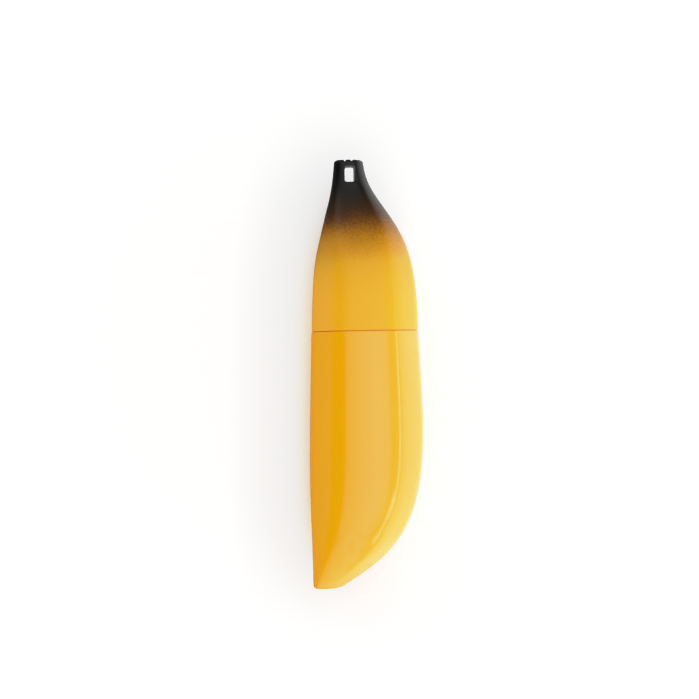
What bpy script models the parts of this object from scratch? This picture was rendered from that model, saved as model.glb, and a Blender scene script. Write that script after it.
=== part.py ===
"""A hollow hard case in the shape of a banana, lying on its side, with a cap that pulls off at the stem end.

Metres, +Z up. X runs across the case, from the banana's inner curve to its outer curve. Y runs along it,
from the blunt tip to the stem. The origin is on the floor, under the middle of the case's box.
"""

import bmesh
import bpy
import numpy as np
from math import cos, hypot, pi, sin
from mathutils import Vector

MM = 0.001

# Along the case
TIP_Y = -135 * MM
STEM_Y = 135 * MM
SEAM_Y = 27 * MM
SEAM_GAP = 0.5 * MM

# Across the case: six soft sides, with flats above and below
MID_HEIGHT = 31 * MM
CORNER_POWER = 8
SIDES = 40

# Walls and roundings
WALL = 2.2 * MM
TIP_ROUNDING = 1.8 * MM
STEM_ROUNDING = 1.8 * MM
LIP_ROUNDING = 0.5 * MM
BODY_FLOOR_Y = -121 * MM
CAP_CEILING_Y = 104 * MM
FLOOR_ROUNDING = 2 * MM

# Neck sleeve: glued into the body's mouth, and a push fit in the cap
NECK_DEPTH = 18 * MM
NECK_HEIGHT = 16 * MM
NECK_WALL = 1.8 * MM
GLUE_GAP = 0.3 * MM
PUSH_FIT_GAP = 0.35 * MM
LEAD_IN = 0.8 * MM

# Strap slot through the stem, wider on top, and the two grooves across the stem's end
SLOT_X = -8.2 * MM
SLOT_Y = 126 * MM
SLOT_WIDTH = 5.4 * MM
SLOT_LENGTH = 10.4 * MM
SLOT_CORNER = 1.3 * MM
SLOT_FLARE = 1.4 * MM
GROOVE_OFFSETS = (-2.5 * MM, 1.8 * MM)
GROOVE_RADIUS = 0.9 * MM
CUTTER_HEIGHT = 40 * MM

# The middle of both mouths, where the cap's pull line starts
MOUTH_MIDDLE = Vector((0, SEAM_Y, MID_HEIGHT))

# Stations: y, edge on the inner curve, edge on the outer curve and half depth in millimetres, then how
# far the inner and the outer ridges lean towards the inner curve, as shares of the half width
BODY_STATIONS = (
    (-135, -35.2, -18.0, 8.0, 0.27, 0.27),
    (-127, -35.3, -5.2, 13.5, 0.21, 0.21),
    (-118, -35.4, 7.0, 18.2, 0.14, 0.14),
    (-105, -35.5, 19.2, 23.4, 0.07, 0.07),
    (-90, -35.8, 27.5, 27.2, 0.03, 0.03),
    (-70, -36.1, 33.3, 30.0, 0, 0),
    (-40, -35.7, 36.1, 31.3, 0, 0),
    (-5, -34.7, 35.5, 31.5, 0, 0),
    (27, -33.6, 34.0, 30.9, 0, 0),
)
CAP_STATIONS = (
    (27, -33.5, 33.8, 30.8, 0, 0),
    (45, -32.8, 33.5, 29.9, 0, 0),
    (60, -31.9, 32.1, 28.1, 0, 0),
    (74, -30.1, 29.4, 25.0, 0.04, 0),
    (88, -26.8, 24.1, 20.5, 0.10, 0),
    (100, -23.8, 17.0, 16.2, 0.15, 0),
    (112, -20.7, 8.8, 12.4, 0.18, 0),
    (122, -18.9, 3.5, 10.2, 0.18, 0),
    (135, -17.6, 0.6, 9.0, 0.18, 0),
)


def natural_spline(knots, values):
    """A function of y: the natural cubic spline through the points."""
    gaps = np.diff(knots)
    slopes = np.diff(values) / gaps
    matrix = np.eye(len(knots))
    turns = np.zeros(len(knots))
    for i in range(1, len(knots) - 1):
        matrix[i, i - 1 : i + 2] = gaps[i - 1], 2 * (gaps[i - 1] + gaps[i]), gaps[i]
        turns[i] = 6 * (slopes[i] - slopes[i - 1])
    bends = np.linalg.solve(matrix, turns)

    def at(y):
        i = int(np.clip(np.searchsorted(knots, y) - 1, 0, len(gaps) - 1))
        a = (knots[i + 1] - y) / gaps[i]
        b = 1 - a
        bend = (a**3 - a) * bends[i] + (b**3 - b) * bends[i + 1]
        return float(a * values[i] + b * values[i + 1] + bend * gaps[i] ** 2 / 6)

    return at


def outline(stations):
    """A function of y: the case's two edges and half depth there, and its ridges' leans."""
    knots, *columns = np.array(stations).T
    units = (MM, MM, MM, 1, 1)
    splines = [natural_spline(knots * MM, column * unit) for column, unit in zip(columns, units)]
    return lambda y: [spline(y) for spline in splines]


def corner_reach(angle):
    """How far a hexagon with rounded corners reaches at this angle. Its flats face up and down."""
    facing = [max(0.0, cos(angle - pi / 6 - side * pi / 3)) for side in range(6)]
    return sum(f**CORNER_POWER for f in facing) ** (-1 / CORNER_POWER)


def leaned(across, inner_lean, outer_lean):
    """Where a point goes when the ridges lean. Across runs from -1 to 1, and those edges stay."""
    shared = (inner_lean + outer_lean) / 1.5
    difference = (inner_lean - outer_lean) / 0.75
    return across - (1 - across**2) * (shared - difference * across)


def ring_inside(outline_at, y, inset):
    """Points around a shell at y, pulled in by inset and flattened where they would go under the floor."""
    inner_x, outer_x, half_depth, *leans = outline_at(y)
    middle_x, half_width = (inner_x + outer_x) / 2, (outer_x - inner_x) / 2
    points = []
    for side in range(SIDES):
        angle = 2 * pi * side / SIDES
        reach = corner_reach(angle)
        across = leaned(reach * cos(angle) / corner_reach(0), *leans)
        up = reach * sin(angle) / corner_reach(pi / 2)
        x = middle_x + (half_width - inset) * across
        z = MID_HEIGHT + (half_depth - inset) * up
        points.append(Vector((x, y, max(z, 0.0))))
    return points


def wall_inset(outline_at, y):
    """How far in the cavity lies at y, so that the wall stays as thick where the outer curve slopes."""
    step = 0.5 * MM
    slope = (outline_at(y + step)[1] - outline_at(y - step)[1]) / (2 * step)
    return WALL * hypot(1, slope)


def rounded_end(outline_at, end_y, inwards, radius, steps=3):
    """Rings from a flat end face round its edge to the side, where inwards is +1 or -1 along Y."""
    rings = []
    for step in range(steps + 1):
        angle = step * pi / 2 / steps
        y = end_y + inwards * radius * (1 - cos(angle))
        rings.append(ring_inside(outline_at, y, radius * (1 - sin(angle))))
    return rings


def lip(outline_at, y, inwards):
    """Rings over a mouth's edge at y: the small chamfer outside, then the flat lip."""
    return [
        ring_inside(outline_at, y + inwards * LIP_ROUNDING, 0),
        ring_inside(outline_at, y, LIP_ROUNDING),
        ring_inside(outline_at, y, WALL),
    ]


def between(start, end, count, crowding=1.0):
    """Places from start to end, both left out, closer together near start when crowding is over 1."""
    return [start + (end - start) * (i / count) ** crowding for i in range(1, count)]


def next_ring(bm, corners, points):
    """Extrudes a ring of corners to new points and returns the new corners in the same order."""
    edges = [bm.edges.get((corners[i - 1], corners[i])) for i in range(len(corners))]
    made = set(bmesh.ops.extrude_edge_only(bm, edges=edges)["geom"])
    following = []
    for corner, point in zip(corners, points):
        new = next(e.other_vert(corner) for e in corner.link_edges if e.other_vert(corner) in made)
        new.co = point - MOUTH_MIDDLE
        following.append(new)
    return following


def skin(rings, closed=False):
    """A solid skinned over the rings. Its first and last rings are filled or, when closed, joined."""
    bm = bmesh.new()
    corners = bmesh.ops.create_circle(bm, segments=SIDES, radius=1, cap_ends=not closed)["verts"]
    for corner, point in zip(corners, rings[0]):
        corner.co = point - MOUTH_MIDDLE
    for points in rings[1:]:
        corners = next_ring(bm, corners, points)
    if closed:
        next_ring(bm, corners, rings[0])
        bmesh.ops.remove_doubles(bm, verts=bm.verts, dist=0.01 * MM)
    else:
        bmesh.ops.contextual_create(bm, geom=corners)
    bmesh.ops.recalc_face_normals(bm, faces=bm.faces)
    return bm


def add_object(name, bm, location):
    mesh = bpy.data.meshes.new(name)
    bm.to_mesh(mesh)
    bm.free()
    obj = bpy.data.objects.new(name, mesh)
    obj.location = location
    bpy.context.scene.collection.objects.link(obj)
    return obj


def add_piece(name, bm, material):
    """A piece of the case, whose origin is the middle of the mouths."""
    piece = add_object(name, bm, MOUTH_MIDDLE)
    piece.data.shade_smooth()
    piece.data.set_sharp_from_angle(angle=pi / 6)
    piece.data.materials.append(material)
    return piece


def plastic(name, colour, roughness):
    """A moulded plastic with this linear colour."""
    material = bpy.data.materials.new(name)
    material.use_nodes = True
    shader = material.node_tree.nodes["Principled BSDF"]
    shader.inputs["Base Color"].default_value = (*colour, 1)
    shader.inputs["Roughness"].default_value = roughness
    shader.inputs["Metallic"].default_value = 0
    return material


def cut(piece, cutter):
    """Takes the cutter's shape out of the piece. The cutter stays as a hidden helper."""
    cutter.hide_render = True
    cutter.display_type = "WIRE"
    boolean = piece.modifiers.new(cutter.name, "BOOLEAN")
    boolean.operation = "DIFFERENCE"
    boolean.object = cutter


def slot_cutter():
    """A block through the stem with rounded upright edges, whose +X side leans out towards the top."""
    bm = bmesh.new()
    block = bmesh.ops.create_cube(bm, size=1)["verts"]
    bmesh.ops.scale(bm, verts=block, vec=(SLOT_WIDTH, SLOT_LENGTH, CUTTER_HEIGHT))
    upright = [e for e in bm.edges if abs(e.verts[0].co.z - e.verts[1].co.z) > CUTTER_HEIGHT / 2]
    bmesh.ops.bevel(
        bm, geom=upright, offset=SLOT_CORNER, segments=3, profile=0.5, affect="EDGES", material=-1
    )
    stem_depth = 2 * outline(CAP_STATIONS)(SLOT_Y)[2]
    for vertex in bm.verts:
        if vertex.co.x > 0:
            vertex.co.x += SLOT_FLARE * (0.5 + vertex.co.z / stem_depth)
    return add_object("strap_slot_cutter", bm, (SLOT_X, SLOT_Y, MID_HEIGHT))


def groove_cutter(name, offset):
    """An upright rod whose middle lies on the stem's end face, so that it cuts half a round groove."""
    bm = bmesh.new()
    bmesh.ops.create_cone(
        bm,
        cap_ends=True,
        segments=12,
        radius1=GROOVE_RADIUS,
        radius2=GROOVE_RADIUS,
        depth=CUTTER_HEIGHT,
    )
    return add_object(name, bm, (SLOT_X + offset, STEM_Y, MID_HEIGHT))


def make_body(material):
    """The long half: a cup with a blunt tip, open at the seam."""
    outline_at = outline(BODY_STATIONS)
    mouth_y = SEAM_Y - SEAM_GAP / 2
    rings = rounded_end(outline_at, TIP_Y, 1, TIP_ROUNDING)
    for y in between(TIP_Y + TIP_ROUNDING, mouth_y - LIP_ROUNDING, 20, 1.4):
        rings.append(ring_inside(outline_at, y, 0))
    rings += lip(outline_at, mouth_y, -1)
    for y in reversed(between(BODY_FLOOR_Y, mouth_y, 14, 1.4)):
        rings.append(ring_inside(outline_at, y, wall_inset(outline_at, y)))
    floor_inset = wall_inset(outline_at, BODY_FLOOR_Y) + FLOOR_ROUNDING
    rings.append(ring_inside(outline_at, BODY_FLOOR_Y, floor_inset))
    add_piece("body_shell", skin(rings), material)


def make_cap(material):
    """The short half: a cup that narrows to a solid stem, with the strap slot and the grooved end."""
    outline_at = outline(CAP_STATIONS)
    mouth_y = SEAM_Y + SEAM_GAP / 2
    rings = rounded_end(outline_at, STEM_Y, -1, STEM_ROUNDING)
    for y in between(STEM_Y - STEM_ROUNDING, mouth_y + LIP_ROUNDING, 18):
        rings.append(ring_inside(outline_at, y, 0))
    rings += lip(outline_at, mouth_y, 1)
    for y in between(mouth_y, CAP_CEILING_Y, 10):
        rings.append(ring_inside(outline_at, y, wall_inset(outline_at, y)))
    ceiling_inset = wall_inset(outline_at, CAP_CEILING_Y) + FLOOR_ROUNDING
    rings.append(ring_inside(outline_at, CAP_CEILING_Y, ceiling_inset))
    cap = add_piece("cap_shell", skin(rings), material)
    cut(cap, slot_cutter())
    for number, offset in enumerate(GROOVE_OFFSETS, start=1):
        cut(cap, groove_cutter(f"stem_groove_cutter_{number}", offset))


def make_neck(material):
    """The straight sleeve that fills the body's mouth and that the cap slides down over."""
    bottom_y, top_y = SEAM_Y - NECK_DEPTH, SEAM_Y + NECK_HEIGHT
    step_y = SEAM_Y - SEAM_GAP / 2
    body_outline, cap_outline = outline(BODY_STATIONS)(SEAM_Y), outline(CAP_STATIONS)(top_y)

    def collar_ring(y):
        return ring_inside(lambda _: body_outline, y, WALL + GLUE_GAP)

    def spigot_ring(y, inset):
        return ring_inside(lambda _: cap_outline, y, WALL + PUSH_FIT_GAP + inset)

    rings = [
        collar_ring(bottom_y),
        collar_ring(step_y),
        spigot_ring(step_y, 0),
        spigot_ring(top_y - LEAD_IN, 0),
        spigot_ring(top_y, LEAD_IN / 2),
        spigot_ring(top_y, NECK_WALL),
        spigot_ring(bottom_y, NECK_WALL),
    ]
    add_piece("neck_sleeve", skin(rings, closed=True), material)


def main():
    for obj in list(bpy.data.objects):
        bpy.data.objects.remove(obj)
    make_body(plastic("glossy yellow ABS", (0.84, 0.42, 0.01), 0.18))
    make_cap(plastic("satin yellow paint", (0.78, 0.36, 0.01), 0.38))
    make_neck(plastic("satin yellow ABS", (0.75, 0.36, 0.02), 0.42))


main()
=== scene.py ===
from math import cos, hypot, pi, radians, sin

import bmesh
import bpy
import numpy as np
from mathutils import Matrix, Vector


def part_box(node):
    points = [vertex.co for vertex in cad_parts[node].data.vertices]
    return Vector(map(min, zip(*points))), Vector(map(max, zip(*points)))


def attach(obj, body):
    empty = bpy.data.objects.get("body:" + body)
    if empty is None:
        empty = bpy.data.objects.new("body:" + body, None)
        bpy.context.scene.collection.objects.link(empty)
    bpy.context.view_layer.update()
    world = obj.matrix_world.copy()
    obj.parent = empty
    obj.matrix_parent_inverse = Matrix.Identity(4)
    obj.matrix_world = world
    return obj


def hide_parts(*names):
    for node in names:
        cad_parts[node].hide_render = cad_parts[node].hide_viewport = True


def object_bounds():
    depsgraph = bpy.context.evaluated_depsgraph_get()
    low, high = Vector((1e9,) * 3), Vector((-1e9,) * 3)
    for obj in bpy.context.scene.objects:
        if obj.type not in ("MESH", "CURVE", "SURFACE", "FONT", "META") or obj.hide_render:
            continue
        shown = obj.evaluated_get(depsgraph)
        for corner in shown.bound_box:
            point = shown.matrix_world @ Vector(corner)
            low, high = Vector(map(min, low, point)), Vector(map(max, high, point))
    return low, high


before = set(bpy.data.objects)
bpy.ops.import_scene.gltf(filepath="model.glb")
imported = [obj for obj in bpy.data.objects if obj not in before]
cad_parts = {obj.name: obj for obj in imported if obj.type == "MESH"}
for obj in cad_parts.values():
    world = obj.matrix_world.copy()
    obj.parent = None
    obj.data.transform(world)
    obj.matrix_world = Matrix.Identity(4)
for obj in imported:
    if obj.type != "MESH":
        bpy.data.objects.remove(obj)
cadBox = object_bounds()
mm = 0.001

# seam, sleeve and floor are read from the frame
bodyLow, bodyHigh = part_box("body_shell")
capLow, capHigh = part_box("cap_shell")
neckLow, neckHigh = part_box("neck_sleeve")
midHeight = (neckLow.z + neckHigh.z) / 2
floorHeight = bodyLow.z
print("frame loaded, seam at", round(bodyHigh.y / mm, 2), "mm")

# both halves are a hexagon with soft corners, carried along Y
section = {
    "cornerPower": 8,  # higher is a crisper ridge
    "columns": 144,  # points round a ring, the cap has its own
    "rowStep": 1.5,  # mm between rings along a plain stretch
    "rimSteps": 6,  # round the edge of a closed end
    "lipSteps": (5, 4),  # round a mouth's outer edge, then its inner edge
    "filletSteps": 5,  # round the closed end of a hollow
    "sharpAngle": 38,  # degrees, edges that turn more than this stay crisp
}


def cornerReach(angle):
    facing = [max(0.0, cos(angle - pi / 6 - side * pi / 3)) for side in range(6)]
    return sum(f ** section["cornerPower"] for f in facing) ** (-1 / section["cornerPower"])


def sectionPoint(angle):  # across and up, each from -1 to 1
    reach = cornerReach(angle)
    return reach * cos(angle) / cornerReach(0), reach * sin(angle) / cornerReach(pi / 2)


def leanedAcross(across, leanLeft, leanRight):  # slides the two ridges sideways, the edges stay
    ridge = 0.5  # how far a ridge lies from the middle
    room = 1 - ridge**2
    both = (leanLeft + leanRight) / (2 * room)
    apart = (leanRight - leanLeft) / (2 * ridge * room)
    return across + (1 - across**2) * (both + apart * across)


def smoothCurve(knots, values):  # natural cubic spline through the stations
    gaps = np.diff(knots)
    slopes = np.diff(values) / gaps
    matrix = np.eye(len(knots))
    turns = np.zeros(len(knots))
    for i in range(1, len(knots) - 1):
        matrix[i, i - 1:i + 2] = gaps[i - 1], 2 * (gaps[i - 1] + gaps[i]), gaps[i]
        turns[i] = 6 * (slopes[i] - slopes[i - 1])
    bends = np.linalg.solve(matrix, turns)

    def at(y):
        i = int(np.clip(np.searchsorted(knots, y) - 1, 0, len(gaps) - 1))
        a = (knots[i + 1] - y) / gaps[i]
        b = 1 - a
        bend = (a**3 - a) * bends[i] + (b**3 - b) * bends[i + 1]
        return float(a * values[i] + b * values[i + 1] + bend * gaps[i]**2 / 6)

    return at


def evenAngles(starts, counts):  # angles round the section, evenly spaced between the given ones
    angles = []
    for start, end, count in zip(starts, starts[1:] + [starts[0] + 2 * pi], counts):
        angles += [start + (end - start) * i / count for i in range(count)]
    return angles


def makeShell(piece, angles=None):  # a half's outline, as curves through its stations
    knots, *columns = np.array(piece["stations"], float).T
    angles = angles or evenAngles([0], [section["columns"]])
    return {
        "curves": [smoothCurve(knots * mm, column) for column in columns],
        "unit": [sectionPoint(angle) for angle in angles],
        "rightShare": piece["rightLean"],
    }


def ringAt(shell, y, inset=0.0):
    left, right, depth, lean = [curve(y) for curve in shell["curves"]]
    middle, halfWidth, halfDepth = (left + right) / 2 * mm, (right - left) / 2 * mm, depth * mm
    points = []
    for across, up in shell["unit"]:
        x = middle + (halfWidth - inset) * leanedAcross(across, lean, lean * shell["rightShare"])
        points.append(Vector((x, y, max(midHeight + (halfDepth - inset) * up, floorHeight))))
    return points


def wallInset(shell, y, wall):  # keeps the wall as thick where the right edge slopes
    step = 0.5 * mm
    slope = (shell["curves"][1](y + step) - shell["curves"][1](y - step)) * mm / (2 * step)
    return wall * hypot(1, slope)


def steps(start, end, size):  # evenly spaced places after start, up to and with end
    count = max(1, round(abs(end - start) / size))
    return [start + (end - start) * i / count for i in range(1, count + 1)]


def roundedRim(shell, y, inwards, radius, count):  # from the end's flat face round to the side
    rings = []
    for i in range(count + 1):
        angle = i * pi / 2 / count
        rings.append(ringAt(shell, y + inwards * radius * (1 - cos(angle)), radius * (1 - sin(angle))))
    return rings


def roundedLip(shell, y, inwards, outer, inner, wall):  # over a mouth's edge, from outside to inside
    outerSteps, innerSteps = section["lipSteps"]
    rings = roundedRim(shell, y, inwards, outer, outerSteps)[::-1]
    for i in range(innerSteps + 1):
        angle = i * pi / 2 / innerSteps
        rings.append(ringAt(shell, y + inwards * inner * (1 - cos(angle)), wall - inner * (1 - sin(angle))))
    return rings


def hollow(shell, piece, start, end):  # along the inside of the wall, then round the fillet to the end
    wall, fillet = piece["wall"] * mm, piece["cupFillet"] * mm
    inwards = 1 if end > start else -1
    rings = []
    for y in steps(start, end - inwards * fillet, piece["cupStep"] * mm):
        rings.append(ringAt(shell, y, wallInset(shell, y, wall)))
    for i in range(1, section["filletSteps"] + 1):
        angle = i * pi / 2 / section["filletSteps"]
        y = end - inwards * fillet * (1 - sin(angle))
        rings.append(ringAt(shell, y, wallInset(shell, y, wall) + fillet * (1 - cos(angle))))
    return rings


def skinOver(rings, closed=False):  # one circle, extruded from ring to ring
    bm = bmesh.new()
    row = bmesh.ops.create_circle(bm, segments=len(rings[0]), radius=1, cap_ends=not closed)["verts"]
    rows = [list(row)]
    for vertex, point in zip(row, rings[0]):
        vertex.co = point
    for points in rings[1:] + (rings[:1] if closed else []):
        row = rows[-1]
        edges = [bm.edges.get((row[i - 1], row[i])) for i in range(len(row))]
        made = set(bmesh.ops.extrude_edge_only(bm, edges=edges)["geom"])
        following = []
        for vertex, point in zip(row, points):
            new = next(e.other_vert(vertex) for e in vertex.link_edges if e.other_vert(vertex) in made)
            new.co = point
            following.append(new)
        rows.append(following)
    if closed:
        bmesh.ops.remove_doubles(bm, verts=rows[0] + rows[-1], dist=0.001 * mm)
    else:
        bmesh.ops.contextual_create(bm, geom=rows[-1])
    bmesh.ops.recalc_face_normals(bm, faces=bm.faces)
    return bm, rows


def bareInside(bm, rows):  # the second material goes on the faces between these rows
    inside = {vertex for row in rows for vertex in row}
    for face in bm.faces:
        if inside.issuperset(face.verts):
            face.material_index = 1


def addPiece(name, bm, materials, body, node):
    mesh = bpy.data.meshes.new(name)
    bm.to_mesh(mesh)
    bm.free()
    mesh.shade_smooth()
    mesh.set_sharp_from_angle(angle=radians(section["sharpAngle"]))
    for material in materials:
        mesh.materials.append(material)
    piece = bpy.data.objects.new(name, mesh)
    bpy.context.scene.collection.objects.link(piece)
    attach(piece, body)
    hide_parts(node)
    print(name, "made,", len(mesh.polygons), "faces")


def linear(hexColour):
    channels = [int(hexColour[i:i + 2], 16) / 255 for i in (1, 3, 5)]
    return tuple(c / 12.92 if c <= 0.04045 else ((c + 0.055) / 1.055) ** 2.4 for c in channels) + (1,)


def addNode(tree, kind, settings=None, links=None):  # settings go to an input if there is one so named
    node = tree.nodes.new(kind)
    for name, value in (settings or {}).items():
        if isinstance(name, int) or name in node.inputs:
            node.inputs[name].default_value = value
        else:
            setattr(node, name, value)
    for name, source in (links or {}).items():
        tree.links.new(source, node.inputs[name])
    return node


def newMaterial(name, constants):  # constants are set on the shader's own sockets
    material = bpy.data.materials.new(name)
    material.use_nodes = True
    tree = material.node_tree
    shader = tree.nodes["Principled BSDF"]
    for socket, value in constants.items():
        shader.inputs[socket].default_value = value
    return material, tree, shader, addNode(tree, "ShaderNodeTexCoord").outputs["Object"]


def fillRamp(ramp, stops):
    for i, (position, colour) in enumerate(stops):
        stop = ramp.elements[i] if i < 2 else ramp.elements.new(position)
        stop.position = position
        stop.color = colour


def noiseOf(size):  # the scale of a noise whose spots are this many mm across
    return 1 / (2 * size * mm)


glossBody = {
    "yellow": "#F7AA00",
    "deepYellow": "#F4A500",
    "roughness": (0.12, 0.17),
    "shrinkSize": (7, 70, 7),  # mm, drawn out along the case
    "shrinkDepth": 0.05,  # mm
    "cloudSize": 24,  # mm
    "smudgeSize": 9,  # mm
    "smudgeRange": (0.35, 0.65),  # noise values where the roughness is lowest and highest
    "dentSize": 3.5,  # mm, faint unevenness near the tip
    "dentDepth": 0.45,  # mm
    "dentsFrom": (-84, -98),  # mm, y where they begin and where they are full
    "peelSize": 0.8,  # mm
    "peelDepth": 0.0006,  # mm
}


def makeGlossAbs():
    # ABS, injection moulded in a polished tool: an even deep yellow and a wet gloss,
    # with a slow ripple where the wall shrank and a very fine orange peel
    material, tree, shader, place = newMaterial("moulded gloss ABS", {"IOR": 1.5, "Metallic": 0})
    cloud = addNode(tree, "ShaderNodeTexNoise",
                    {"Scale": noiseOf(glossBody["cloudSize"]), "Detail": 2.0}, {"Vector": place})
    tone = addNode(tree, "ShaderNodeMix",
                   {"data_type": "RGBA", 6: linear(glossBody["yellow"]), 7: linear(glossBody["deepYellow"])},
                   {0: cloud.outputs["Fac"]})
    smudge = addNode(tree, "ShaderNodeTexNoise",
                     {"Scale": noiseOf(glossBody["smudgeSize"]), "Detail": 5.0, "Roughness": 0.6},
                     {"Vector": place})
    darkest, brightest = glossBody["smudgeRange"]
    low, high = glossBody["roughness"]
    gloss = addNode(tree, "ShaderNodeMapRange",
                    {"From Min": darkest, "From Max": brightest, "To Min": low, "To Max": high},
                    {"Value": smudge.outputs["Fac"]})
    peel = addNode(tree, "ShaderNodeTexNoise", {"Scale": noiseOf(glossBody["peelSize"]), "Detail": 1.0},
                   {"Vector": place})
    drawn = addNode(tree, "ShaderNodeMapping",
                    {"Scale": [noiseOf(size) for size in glossBody["shrinkSize"]]}, {"Vector": place})
    shrink = addNode(tree, "ShaderNodeTexNoise", {"Scale": 1.0, "Detail": 1.0},
                     {"Vector": drawn.outputs["Vector"]})
    ripple = addNode(tree, "ShaderNodeBump", {"Distance": glossBody["shrinkDepth"] * mm},
                     {"Height": shrink.outputs["Fac"]})
    along = addNode(tree, "ShaderNodeSeparateXYZ", {}, {"Vector": place})
    start, full = glossBody["dentsFrom"]
    nearTip = addNode(tree, "ShaderNodeMapRange", {"From Min": start * mm, "From Max": full * mm},
                      {"Value": along.outputs["Y"]})
    dents = addNode(tree, "ShaderNodeTexNoise", {"Scale": noiseOf(glossBody["dentSize"]), "Detail": 0.0},
                    {"Vector": place})
    tip = addNode(tree, "ShaderNodeBump", {"Distance": glossBody["dentDepth"] * mm},
                  {"Height": dents.outputs["Fac"], "Strength": nearTip.outputs["Result"],
                   "Normal": ripple.outputs["Normal"]})
    skin = addNode(tree, "ShaderNodeBump", {"Distance": glossBody["peelDepth"] * mm},
                   {"Height": peel.outputs["Fac"], "Normal": tip.outputs["Normal"]})
    tree.links.new(tone.outputs[2], shader.inputs["Base Color"])
    tree.links.new(gloss.outputs["Result"], shader.inputs["Roughness"])
    tree.links.new(skin.outputs["Normal"], shader.inputs["Normal"])
    return material


satinCap = {
    "fade": (  # mm from the seam towards the stem, colour of the paint there
        (18, "#F2AA18"), (30, "#E9A718"), (41, "#DAA018"), (50, "#C78912"), (57.5, "#AD7409"),
        (64, "#835206"), (69, "#593506"), (74, "#3F2105"), (79, "#2B1904"), (88, "#100C08"),
        (95, "#060606"),
    ),
    "bow": 1.5, "bowMiddle": -9, "bowSide": 12,  # mm, the sides stay yellow further up
    "driftSize": 9, "driftReach": 3.5,  # mm, how unevenly the fade was sprayed
    "dropSize": 0.55, "dropReach": 7,  # mm, the droplets and how far their colour strays along the fade
    "dropRange": (0.3, 0.7),  # noise values where the roughness is lowest and highest
    "roughness": (0.28, 0.36),
    "shine": 0.2,
    "grainSize": 0.35, "grainDepth": 0.008,  # mm
}


def makeSatinPaint():
    # satin lacquer sprayed over ABS, yellow first and then dark brown blown on from the stem end:
    # a soft sheen with no sharp reflection, and a fade that breaks into fine droplets
    material, tree, shader, place = newMaterial(
        "sprayed satin lacquer", {"IOR": 1.5, "Metallic": 0, "Specular IOR Level": satinCap["shine"]})
    apart = addNode(tree, "ShaderNodeSeparateXYZ", {}, {"Vector": place})
    drift = addNode(tree, "ShaderNodeTexNoise",
                    {"Scale": noiseOf(satinCap["driftSize"]), "Detail": 3.0}, {"Vector": place})
    drops = addNode(tree, "ShaderNodeTexNoise",
                    {"Scale": noiseOf(satinCap["dropSize"]), "Detail": 2.0, "Roughness": 0.7},
                    {"Vector": place})
    offMiddle = addNode(tree, "ShaderNodeMapRange",
                        {"From Min": satinCap["bowMiddle"] * mm, "From Max": satinCap["bowSide"] * mm,
                         "clamp": False}, {"Value": apart.outputs["X"]})
    bow = addNode(tree, "ShaderNodeMath", {"operation": "POWER", 1: 2}, {0: offMiddle.outputs["Result"]})
    along = addNode(tree, "ShaderNodeMath", {"operation": "MULTIPLY_ADD", 1: -satinCap["bow"] * mm},
                    {0: bow.outputs["Value"], 2: apart.outputs["Y"]}).outputs["Value"]
    for noise, reach in ((drift, satinCap["driftReach"]), (drops, satinCap["dropReach"])):
        stray = addNode(tree, "ShaderNodeMapRange",
                        {"To Min": -reach * mm, "To Max": reach * mm, "clamp": False},
                        {"Value": noise.outputs["Fac"]})
        along = addNode(tree, "ShaderNodeMath", {"operation": "ADD"},
                        {0: along, 1: stray.outputs["Result"]}).outputs["Value"]
    first, last = satinCap["fade"][0][0], satinCap["fade"][-1][0]
    ratio = addNode(tree, "ShaderNodeMapRange",
                    {"From Min": bodyHigh.y + first * mm, "From Max": bodyHigh.y + last * mm},
                    {"Value": along})
    fade = addNode(tree, "ShaderNodeValToRGB", {}, {"Fac": ratio.outputs["Result"]})
    fillRamp(fade.color_ramp, [((distance - first) / (last - first), linear(colour))
                               for distance, colour in satinCap["fade"]])
    darkest, brightest = satinCap["dropRange"]
    low, high = satinCap["roughness"]
    sheen = addNode(tree, "ShaderNodeMapRange",
                    {"From Min": darkest, "From Max": brightest, "To Min": low, "To Max": high},
                    {"Value": drops.outputs["Fac"]})
    grain = addNode(tree, "ShaderNodeTexNoise", {"Scale": noiseOf(satinCap["grainSize"]), "Detail": 2.0},
                    {"Vector": place})
    pebble = addNode(tree, "ShaderNodeBump", {"Distance": satinCap["grainDepth"] * mm},
                     {"Height": grain.outputs["Fac"]})
    tree.links.new(fade.outputs["Color"], shader.inputs["Base Color"])
    tree.links.new(sheen.outputs["Result"], shader.inputs["Roughness"])
    tree.links.new(pebble.outputs["Normal"], shader.inputs["Normal"])
    return material


plainMoulding = {
    "yellow": "#EC9800",
    "worn": "#DE8A04",
    "roughness": 0.42,
    "rubSize": (1.2, 14, 1.2),  # mm, rub marks run along the pull
    "rubDepth": 0.01,  # mm
}


def makeSatinAbs():
    # ABS, moulded in an unpolished tool: plain satin yellow, rubbed along the way the cap slides
    material, tree, shader, place = newMaterial(
        "moulded satin ABS", {"IOR": 1.5, "Metallic": 0, "Roughness": plainMoulding["roughness"]})
    stretched = addNode(tree, "ShaderNodeMapping",
                        {"Scale": [noiseOf(size) for size in plainMoulding["rubSize"]]},
                        {"Vector": place})
    rubs = addNode(tree, "ShaderNodeTexNoise", {"Scale": 1.0, "Detail": 3.0},
                   {"Vector": stretched.outputs["Vector"]})
    yellow, worn = linear(plainMoulding["yellow"]), linear(plainMoulding["worn"])
    tone = addNode(tree, "ShaderNodeMix", {"data_type": "RGBA", 6: yellow, 7: worn},
                   {0: rubs.outputs["Fac"]})
    marks = addNode(tree, "ShaderNodeBump", {"Distance": plainMoulding["rubDepth"] * mm},
                    {"Height": rubs.outputs["Fac"]})
    tree.links.new(tone.outputs[2], shader.inputs["Base Color"])
    tree.links.new(marks.outputs["Normal"], shader.inputs["Normal"])
    return material


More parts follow.
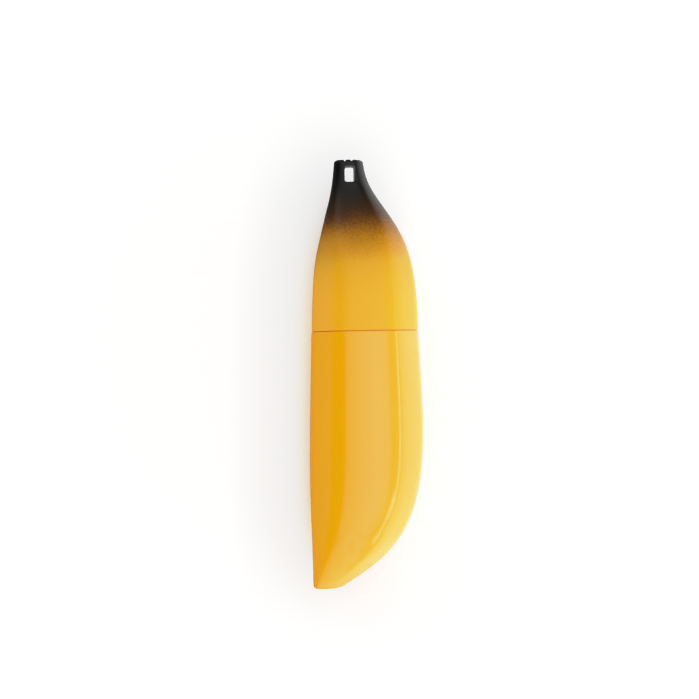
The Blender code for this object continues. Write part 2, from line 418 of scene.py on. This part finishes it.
body = {
    # all in mm but for the lean: y, left edge, right edge, half the depth, how far the ridges lean
    "stations": (
        (-135, -35.2, -18.0, 8.0, -0.27),
        (-127, -35.3, -5.2, 13.5, -0.21),
        (-118, -35.4, 7.0, 18.2, -0.14),
        (-105, -35.5, 19.2, 23.4, -0.07),
        (-90, -35.8, 27.5, 27.2, -0.03),
        (-70, -36.1, 33.3, 30.0, 0),
        (-40, -35.7, 36.1, 31.3, 0),
        (-5, -34.7, 35.5, 31.5, 0),
        (27, -33.6, 34.0, 30.9, 0),
    ),
    "rightLean": 1,  # the right ridge leans as much as the left
    "wall": 2.2,
    "tipInsets": (7, 5, 3.5),  # rings on the flat tip, in from its edge
    "tipRounding": 1.8,
    "lipOuter": 0.35,
    "lipInner": 0.3,
    "cupStart": 1,  # from the mouth to the first ring inside
    "cupStep": 3,
    "cupFloor": -121,  # where the hollow ends
    "cupFillet": 3,
}


def makeBody(outside, inside):
    shell = makeShell(body)
    tip, mouth, wall = bodyLow.y, bodyHigh.y, body["wall"] * mm
    rounding, lipOuter = body["tipRounding"] * mm, body["lipOuter"] * mm
    rings = [ringAt(shell, tip, inset * mm) for inset in body["tipInsets"]]
    rings += roundedRim(shell, tip, 1, rounding, section["rimSteps"])
    for y in steps(tip + rounding, mouth - lipOuter, section["rowStep"] * mm)[:-1]:
        rings.append(ringAt(shell, y))
    rings += roundedLip(shell, mouth, -1, lipOuter, body["lipInner"] * mm, wall)
    wallStart = len(rings) - 1
    rings += hollow(shell, body, mouth - body["cupStart"] * mm, body["cupFloor"] * mm)
    bm, rows = skinOver(rings)
    bareInside(bm, rows[wallStart:])
    addPiece("body", bm, (outside, inside), "case_body", "body_shell")


cap = {
    "stations": (  # as for the body
        (27, -33.5, 33.8, 30.8, 0),
        (45, -32.8, 33.5, 29.9, 0),
        (60, -31.9, 32.1, 28.1, 0),
        (74, -30.1, 29.4, 25.0, -0.04),
        (88, -26.8, 24.1, 20.5, -0.10),
        (100, -23.8, 17.0, 16.2, -0.15),
        (112, -20.7, 8.8, 12.4, -0.18),
        (122, -18.9, 3.5, 10.2, -0.18),
        (135, -17.6, 0.6, 9.0, -0.18),
    ),
    "rightLean": 0,  # only the left ridge leans
    "wall": 2.2,
    "endInset": 8.4,  # rings on the stem's end face, in from its edge
    "endStep": 0.4,
    "stemRounding": 1.8,
    "lipOuter": 0.35,
    "lipInner": 0.3,
    "cupStart": 1,
    "cupStep": 2.5,
    "cupCeiling": 104,  # where the hollow ends
    "cupFillet": 3,
    "slotCentre": (-8.2, 126),
    "slotSize": (5.4, 10.4),
    "slotCorner": 1.3,
    "slotFlare": 1.4,  # how far the right wall leans out from bottom to top
    "slotEdge": 0.35,
    "slotReach": 1.5,  # how much of the slot's length at each end has close rings, for its corners
    "slotSteps": {"before": 0.6, "corner": 0.5, "middle": 0.9, "after": 0.75},
    "afterSlot": 3,
    "columns": {"right": 28, "slot": 12, "left": 32},  # from the right edge, over the slot, to the left
    "grooves": (-10.7, -6.4),  # x of the two grooves across the stem's end
    "grooveWidth": 2.1,
    "grooveDepth": 1.0,
    "grooveFade": 1.3,  # how far in from the end they run out, in roundings
}


def slotAngles():  # columns that run along the slot's sides, above and below
    shell = makeShell(cap)
    slotX, slotY = [value * mm for value in cap["slotCentre"]]
    left, right, _, lean = [curve(slotY) for curve in shell["curves"]]
    middle, halfWidth = (left + right) / 2 * mm, (right - left) / 2 * mm

    def angleAt(x):  # the angle above the middle where the section is at x, found by halving
        low, high = 0.0, pi
        halvings = 40
        for _ in range(halvings):
            angle = (low + high) / 2
            across = leanedAcross(sectionPoint(angle)[0], lean, lean * cap["rightLean"])
            low, high = (angle, high) if middle + halfWidth * across > x else (low, angle)
        return angle

    half = cap["slotSize"][0] / 2 * mm
    upRight, upLeft = angleAt(slotX + half + cap["slotFlare"] * mm), angleAt(slotX - half)
    downRight = angleAt(slotX + half)
    starts = [0, upRight, upLeft, pi, 2 * pi - upLeft, 2 * pi - downRight]
    beside, across, beyond = [cap["columns"][part] for part in ("right", "slot", "left")]
    counts = [beside, across, beyond, beyond, across, beside]
    columns = {name: sum(counts[:i]) for name, i in
               (("upRight", 1), ("upLeft", 2), ("downLeft", 4), ("downRight", 5))}
    return evenAngles(starts, counts), columns


def cutSlot(bm, rows, firstRow, lastRow, columns):  # opens the slot through rows firstRow to lastRow
    slotX, slotY = [value * mm for value in cap["slotCentre"]]
    halfX, halfY = [value / 2 * mm for value in cap["slotSize"]]
    corner, flare = cap["slotCorner"] * mm, cap["slotFlare"] * mm
    loops = []
    for start, end, widen in ((columns["upRight"], columns["upLeft"], flare),
                              (columns["downLeft"], columns["downRight"], 0.0)):
        inside = range(start, end + 1)
        left, right = slotX - halfX, slotX + halfX + widen
        for i in range(firstRow, lastRow + 1):  # straighten the sides of the opening
            for k in inside:
                ratio = (k - start) / (end - start)
                fromRight = ratio if start == columns["upRight"] else 1 - ratio
                rows[i][k].co.x = right + (left - right) * fromRight
        for i in range(firstRow, lastRow + 1):  # then round its corners
            for k in inside:
                co = rows[i][k].co
                overX = max(co.x - (right - corner), 0) + min(co.x - (left + corner), 0)
                overY = max(co.y - (slotY + halfY - corner), 0) + min(co.y - (slotY - halfY + corner), 0)
                reach = hypot(overX, overY)
                if overX and overY and reach > corner:
                    co.x -= overX * (1 - corner / reach)
                    co.y -= overY * (1 - corner / reach)
        hole = [face for i in range(firstRow, lastRow) for k in range(start, end)
                for face in rows[i][k].link_faces
                if rows[i + 1][k + 1] in face.verts]
        border = {edge for face in hole for edge in face.edges}
        border = [edge for edge in border if sum(face in hole for face in edge.link_faces) == 1]
        bmesh.ops.delete(bm, geom=hole, context="FACES")
        loops.append(border)
    bmesh.ops.bridge_loops(bm, edges=loops[0] + loops[1])
    bmesh.ops.recalc_face_normals(bm, faces=bm.faces)
    bmesh.ops.bevel(bm, geom=loops[0] + loops[1], offset=cap["slotEdge"] * mm, segments=3,
                    profile=0.5, affect="EDGES", material=-1)


def pressGrooves(bm, end):  # two soft grooves across the stem's end leave three bumps
    width, depth = cap["grooveWidth"] / 2 * mm, cap["grooveDepth"] * mm
    reach = cap["stemRounding"] * mm
    for vertex in bm.verts:
        near = min(1, max(0, (vertex.co.y - end + cap["grooveFade"] * reach) / reach))
        for x in cap["grooves"]:
            off = abs(vertex.co.x - x * mm)
            if near and off < width:
                vertex.co.y -= near * depth * (1 + cos(pi * off / width)) / 2


def makeCap(outside, inside):
    angles, columns = slotAngles()
    shell = makeShell(cap, angles)
    end, mouth, wall = capHigh.y, capLow.y, cap["wall"] * mm
    rounding, lipOuter = cap["stemRounding"] * mm, cap["lipOuter"] * mm
    insets = steps(cap["endInset"] * mm, rounding, cap["endStep"] * mm)[:-1]
    rings = [ringAt(shell, end, inset) for inset in insets]
    rings += roundedRim(shell, end, -1, rounding, section["rimSteps"])
    slotY, halfLength = cap["slotCentre"][1] * mm, cap["slotSize"][1] / 2 * mm
    reach, size = cap["slotReach"] * mm, cap["slotSteps"]
    places = steps(end - rounding, slotY + halfLength, size["before"] * mm)
    firstRow = len(rings) + len(places) - 1
    places += steps(places[-1], places[-1] - reach, size["corner"] * mm)
    places += steps(places[-1], slotY - halfLength + reach, size["middle"] * mm)
    places += steps(places[-1], slotY - halfLength, size["corner"] * mm)
    lastRow = len(rings) + len(places) - 1
    places += steps(places[-1], places[-1] - cap["afterSlot"] * mm, size["after"] * mm)
    places += steps(places[-1], mouth + lipOuter, section["rowStep"] * mm)[:-1]
    rings += [ringAt(shell, y) for y in places]
    rings += roundedLip(shell, mouth, 1, lipOuter, cap["lipInner"] * mm, wall)
    wallStart = len(rings) - 1
    rings += hollow(shell, cap, mouth + cap["cupStart"] * mm, cap["cupCeiling"] * mm)
    bm, rows = skinOver(rings)
    bareInside(bm, rows[wallStart:])
    cutSlot(bm, rows, firstRow, lastRow, columns)
    pressGrooves(bm, end)
    addPiece("cap", bm, (outside, inside), "case_cap", "cap_shell")


neck = {  # mm
    "wall": 1.8,
    "lead": 0.8,  # the taper that lets the cap on
    "leadShoulder": 0.15,  # how far in the taper is halfway along, as a share of its length
    "topEdge": 0.2,  # the small bevel inside the top
    "beadFromTop": 7,  # the low bead that grips the cap
    "beadHeight": 0.22,
    "beadWidth": 2.4,
    "beadSteps": 8,
    "glueGap": 0.3,  # between the sleeve and the body's wall
    "fitGap": 0.35,  # between the sleeve and the cap's wall
    "rimDepth": 0.7,  # the thin rim that the cap stops against, below the surface
    "rimSpace": 0.05,  # between the rim and each half
}


def makeNeck(material):
    bodyShell, capShell = makeShell(body), makeShell(cap)
    bottom, top, seam = neckLow.y, neckHigh.y, (bodyHigh.y + capLow.y) / 2
    wall, lead = neck["wall"] * mm, neck["lead"] * mm

    def straightRing(shell, place, inset, y):  # the outline at one place, moved along to y
        return [Vector((p.x, y, p.z)) for p in ringAt(shell, place, inset)]

    def collarRing(y, inset=0.0):  # the part glued into the body
        return straightRing(bodyShell, seam, (body["wall"] + neck["glueGap"]) * mm + inset, y)

    def spigotRing(y, inset=0.0):  # the part the cap slides on
        return straightRing(capShell, top, (cap["wall"] + neck["fitGap"]) * mm + inset, y)

    rings = [collarRing(bottom, lead / 2), collarRing(bottom + lead / 2), collarRing(bodyHigh.y)]
    rimSpace, rimDepth = neck["rimSpace"] * mm, neck["rimDepth"] * mm
    for y in (bodyHigh.y + rimSpace, capLow.y - rimSpace):
        rings.append(straightRing(bodyShell, seam, rimDepth, y))
    rings.append(spigotRing(capLow.y - rimSpace))
    bead = top - neck["beadFromTop"] * mm
    width, height = neck["beadWidth"] * mm, neck["beadHeight"] * mm
    for i in range(neck["beadSteps"] + 1):
        angle = i * pi / neck["beadSteps"]
        rings.append(spigotRing(bead - width / 2 * cos(angle), -height * sin(angle)))
    edge = neck["topEdge"] * mm
    rings += [spigotRing(top - lead), spigotRing(top - lead / 2, lead * neck["leadShoulder"]),
              spigotRing(top, lead / 2), spigotRing(top, wall - edge),
              spigotRing(top - edge, wall), spigotRing(bottom, wall)]
    bm, rows = skinOver(rings, closed=True)
    addPiece("neck", bm, (material,), "case_body", "neck_sleeve")


satinAbs = makeSatinAbs()
makeBody(makeGlossAbs(), satinAbs)
makeNeck(satinAbs)
makeCap(makeSatinPaint(), satinAbs)

studio = {
    "floorSize": 12,  # m
    "floorColour": "#F4F4F2",
    "floorGlow": 0.66,
    "glowReach": 60,  # mm, how near the case has to be to hold back the floor's glow, a painted shadow beside it
    "glowFalloff": 3,  # higher is a darker painted shadow beside the case
    # grey the case's gloss sees on the floor to the left: a painted dark reflection
    "darkReflectionColour": "#585858",
    "backdrop": 2.0,  # what the camera sees past the floor
    # brightness of the sky from the left horizon (-1) over the top (0) to the right horizon (1)
    "sky": {
        "tip": ((-0.50, 0.8), (-0.20, 1.0), (0.10, 1.9), (0.40, 0.8)),
        "middle": ((-0.50, 0.04), (-0.34, 1.1), (-0.08, 1.3), (0.01, 2.1), (0.10, 2.45), (0.40, 2.0),
                   (0.70, 0.7)),
        "stem": ((-0.50, 2.3), (-0.20, 0.8), (0.10, 0.4), (0.50, 0.25)),
    },
    "skyTurns": (0.38, 0.66),  # how far along Y the middle gives way to the ends
    # size and distance in m, lean in degrees from overhead, turn in degrees from the right to the tip
    "strip": {"size": (0.30, 2.4), "lean": 78, "turn": 0, "distance": 1.8, "radiance": 2.9},
    "kicker": {"size": (0.5, 1.0), "lean": 71, "turn": 42, "distance": 1.8, "radiance": 2.3},
}


def makeFloor():
    bm = bmesh.new()
    bmesh.ops.create_circle(bm, segments=96, radius=studio["floorSize"] / 2, cap_ends=True)
    bmesh.ops.translate(bm, verts=bm.verts, vec=(0, 0, floorHeight))
    mesh = bpy.data.meshes.new("floor")
    bm.to_mesh(mesh)
    bm.free()
    # card, matt white and glowing as if lit from below; the glow is held back beside the case on the left as
    # a painted shadow, and to the left the card is painted grey for gloss only, a painted dark reflection
    material, tree, shader, place = newMaterial("matt white card", {
        "Roughness": 0.85, "Specular IOR Level": 0.1, "Emission Color": (1, 1, 1, 1)})
    path = addNode(tree, "ShaderNodeLightPath")
    apart = addNode(tree, "ShaderNodeSeparateXYZ", {}, {"Vector": place})
    leftness = addNode(tree, "ShaderNodeMapRange", {"From Min": bodyHigh.x, "From Max": bodyLow.x},
                       {"Value": apart.outputs["X"]})
    # gloss rays see the floor grey to the left, a painted dark reflection on the case's left side; the same
    # mask turns the glow off there
    darkReflection = addNode(tree, "ShaderNodeMath", {"operation": "MULTIPLY"},
                   {0: leftness.outputs["Result"], 1: path.outputs["Is Glossy Ray"]})
    card = addNode(tree, "ShaderNodeMix", {"data_type": "RGBA", 6: linear(studio["floorColour"]),
                   7: linear(studio["darkReflectionColour"])}, {0: darkReflection.outputs["Value"]})
    # the glow is held back where the case hides the sky, on the left only: a painted shadow on the floor
    openSky = addNode(tree, "ShaderNodeAmbientOcclusion", {"Distance": studio["glowReach"] * mm})
    shaded = addNode(tree, "ShaderNodeMath", {"operation": "POWER", 1: studio["glowFalloff"]},
                     {0: openSky.outputs["AO"]})
    paintedShadow = addNode(tree, "ShaderNodeMix", {"data_type": "FLOAT", 2: 1.0},
                  {0: leftness.outputs["Result"], 3: shaded.outputs["Value"]})
    notDarkReflection = addNode(tree, "ShaderNodeMath", {"operation": "SUBTRACT", 0: 1.0},
                      {1: darkReflection.outputs["Value"]})
    seen = addNode(tree, "ShaderNodeMath", {"operation": "MULTIPLY"},
                   {0: paintedShadow.outputs[0], 1: notDarkReflection.outputs["Value"]})
    glow = addNode(tree, "ShaderNodeMath", {"operation": "MULTIPLY", 1: studio["floorGlow"]},
                   {0: seen.outputs["Value"]})
    tree.links.new(card.outputs[2], shader.inputs["Base Color"])
    tree.links.new(glow.outputs["Value"], shader.inputs["Emission Strength"])
    mesh.materials.append(material)
    floor = bpy.data.objects.new("floor", mesh)
    bpy.context.scene.collection.objects.link(floor)


def addSoftbox(name, softbox, aim):
    light = bpy.data.lights.new(name, "AREA")
    light.shape = "RECTANGLE"
    light.size, light.size_y = softbox["size"]
    light.energy = softbox["radiance"] * pi * light.size * light.size_y
    lamp = bpy.data.objects.new(name, light)
    lean, turn = radians(softbox["lean"]), radians(softbox["turn"])
    towards = Vector((sin(lean) * cos(turn), -sin(lean) * sin(turn), cos(lean)))
    lamp.location = aim + towards * softbox["distance"]
    lamp.rotation_euler = towards.to_track_quat("Z", "X").to_euler()
    bpy.context.scene.collection.objects.link(lamp)


def skyProfile(tree, source, stops):  # a ramp holds 0 to 1, so it is scaled to its brightest stop
    first, last = stops[0][0], stops[-1][0]
    brightest = max(light for place, light in stops)
    ratio = addNode(tree, "ShaderNodeMapRange", {"From Min": first, "From Max": last}, {"Value": source})
    profile = addNode(tree, "ShaderNodeValToRGB", {}, {"Fac": ratio.outputs["Result"]})
    fillRamp(profile.color_ramp, [((place - first) / (last - first), (light / brightest,) * 3 + (1,))
                                  for place, light in stops])
    profile.color_ramp.interpolation = "EASE"
    return addNode(tree, "ShaderNodeMath", {"operation": "MULTIPLY", 1: brightest},
                   {0: profile.outputs["Color"]}).outputs["Value"]


def makeSky():  # a soft tent: dark low on the left, brightest over the top, plain white to the camera
    world = bpy.data.worlds.new("studio")
    bpy.context.scene.world = world
    world.use_nodes = True
    tree = world.node_tree
    way = addNode(tree, "ShaderNodeTexCoord").outputs["Generated"]
    apart = addNode(tree, "ShaderNodeSeparateXYZ", {}, {"Vector": way})
    sky = skyProfile(tree, apart.outputs["X"], studio["sky"]["middle"])
    near, far = studio["skyTurns"]
    for end, side in (("tip", -1), ("stem", 1)):
        turn = addNode(tree, "ShaderNodeMapRange",
                       {"interpolation_type": "SMOOTHSTEP", "From Min": side * near, "From Max": side * far},
                       {"Value": apart.outputs["Y"]})
        profile = skyProfile(tree, apart.outputs["X"], studio["sky"][end])
        sky = addNode(tree, "ShaderNodeMix", {"data_type": "FLOAT"},
                      {0: turn.outputs["Result"], 2: sky, 3: profile}).outputs[0]
    path = addNode(tree, "ShaderNodeLightPath")
    seen = addNode(tree, "ShaderNodeMix", {"data_type": "FLOAT", 3: studio["backdrop"]},
                   {0: path.outputs["Is Camera Ray"], 2: sky})
    tree.links.new(seen.outputs[0], tree.nodes["Background"].inputs["Strength"])
    tree.nodes["Background"].inputs["Color"].default_value = (1, 1, 1, 1)


camera = {
    "lens": 100,  # mm
    "sensor": 36,  # mm
    "viewWidth": 442,  # mm across the view at mid height
    "centre": (-9.8, 15.5),  # mm, the case lies a little right of and below the middle
    "roll": -1.0,  # degrees
}


def makeCamera():
    data = bpy.data.cameras.new("camera")
    data.lens, data.sensor_width = camera["lens"], camera["sensor"]
    eye = bpy.data.objects.new("camera", data)
    distance = camera["viewWidth"] * mm * data.lens / data.sensor_width
    x, y = [value * mm for value in camera["centre"]]
    eye.location = x, y, midHeight + distance
    eye.rotation_euler = 0, 0, radians(camera["roll"])
    bpy.context.scene.collection.objects.link(eye)
    bpy.context.scene.camera = eye


makeFloor()
middle = (cadBox[0] + cadBox[1]) / 2
addSoftbox("strip", studio["strip"], middle)
addSoftbox("kicker", studio["kicker"], middle)
makeSky()
makeCamera()
print("floor, lights and camera made")

# light in, light out: straight up to the yellow, a soft shoulder, then the white floor
tone = {
    "white": 1.6,
    "points": ((0.125, 0.2), (0.25, 0.4), (0.375, 0.6), (0.5, 0.79), (0.6, 0.845), (0.7, 0.875),
               (0.8, 0.905), (0.9, 0.95)),
}
view = bpy.context.scene.view_settings
view.view_transform = "Standard"
view.use_curve_mapping = True
view.curve_mapping.white_level = [tone["white"]] * 3
for x, y in tone["points"]:
    view.curve_mapping.curves[3].points.new(x, y)
view.curve_mapping.update()
print("tone curve set")
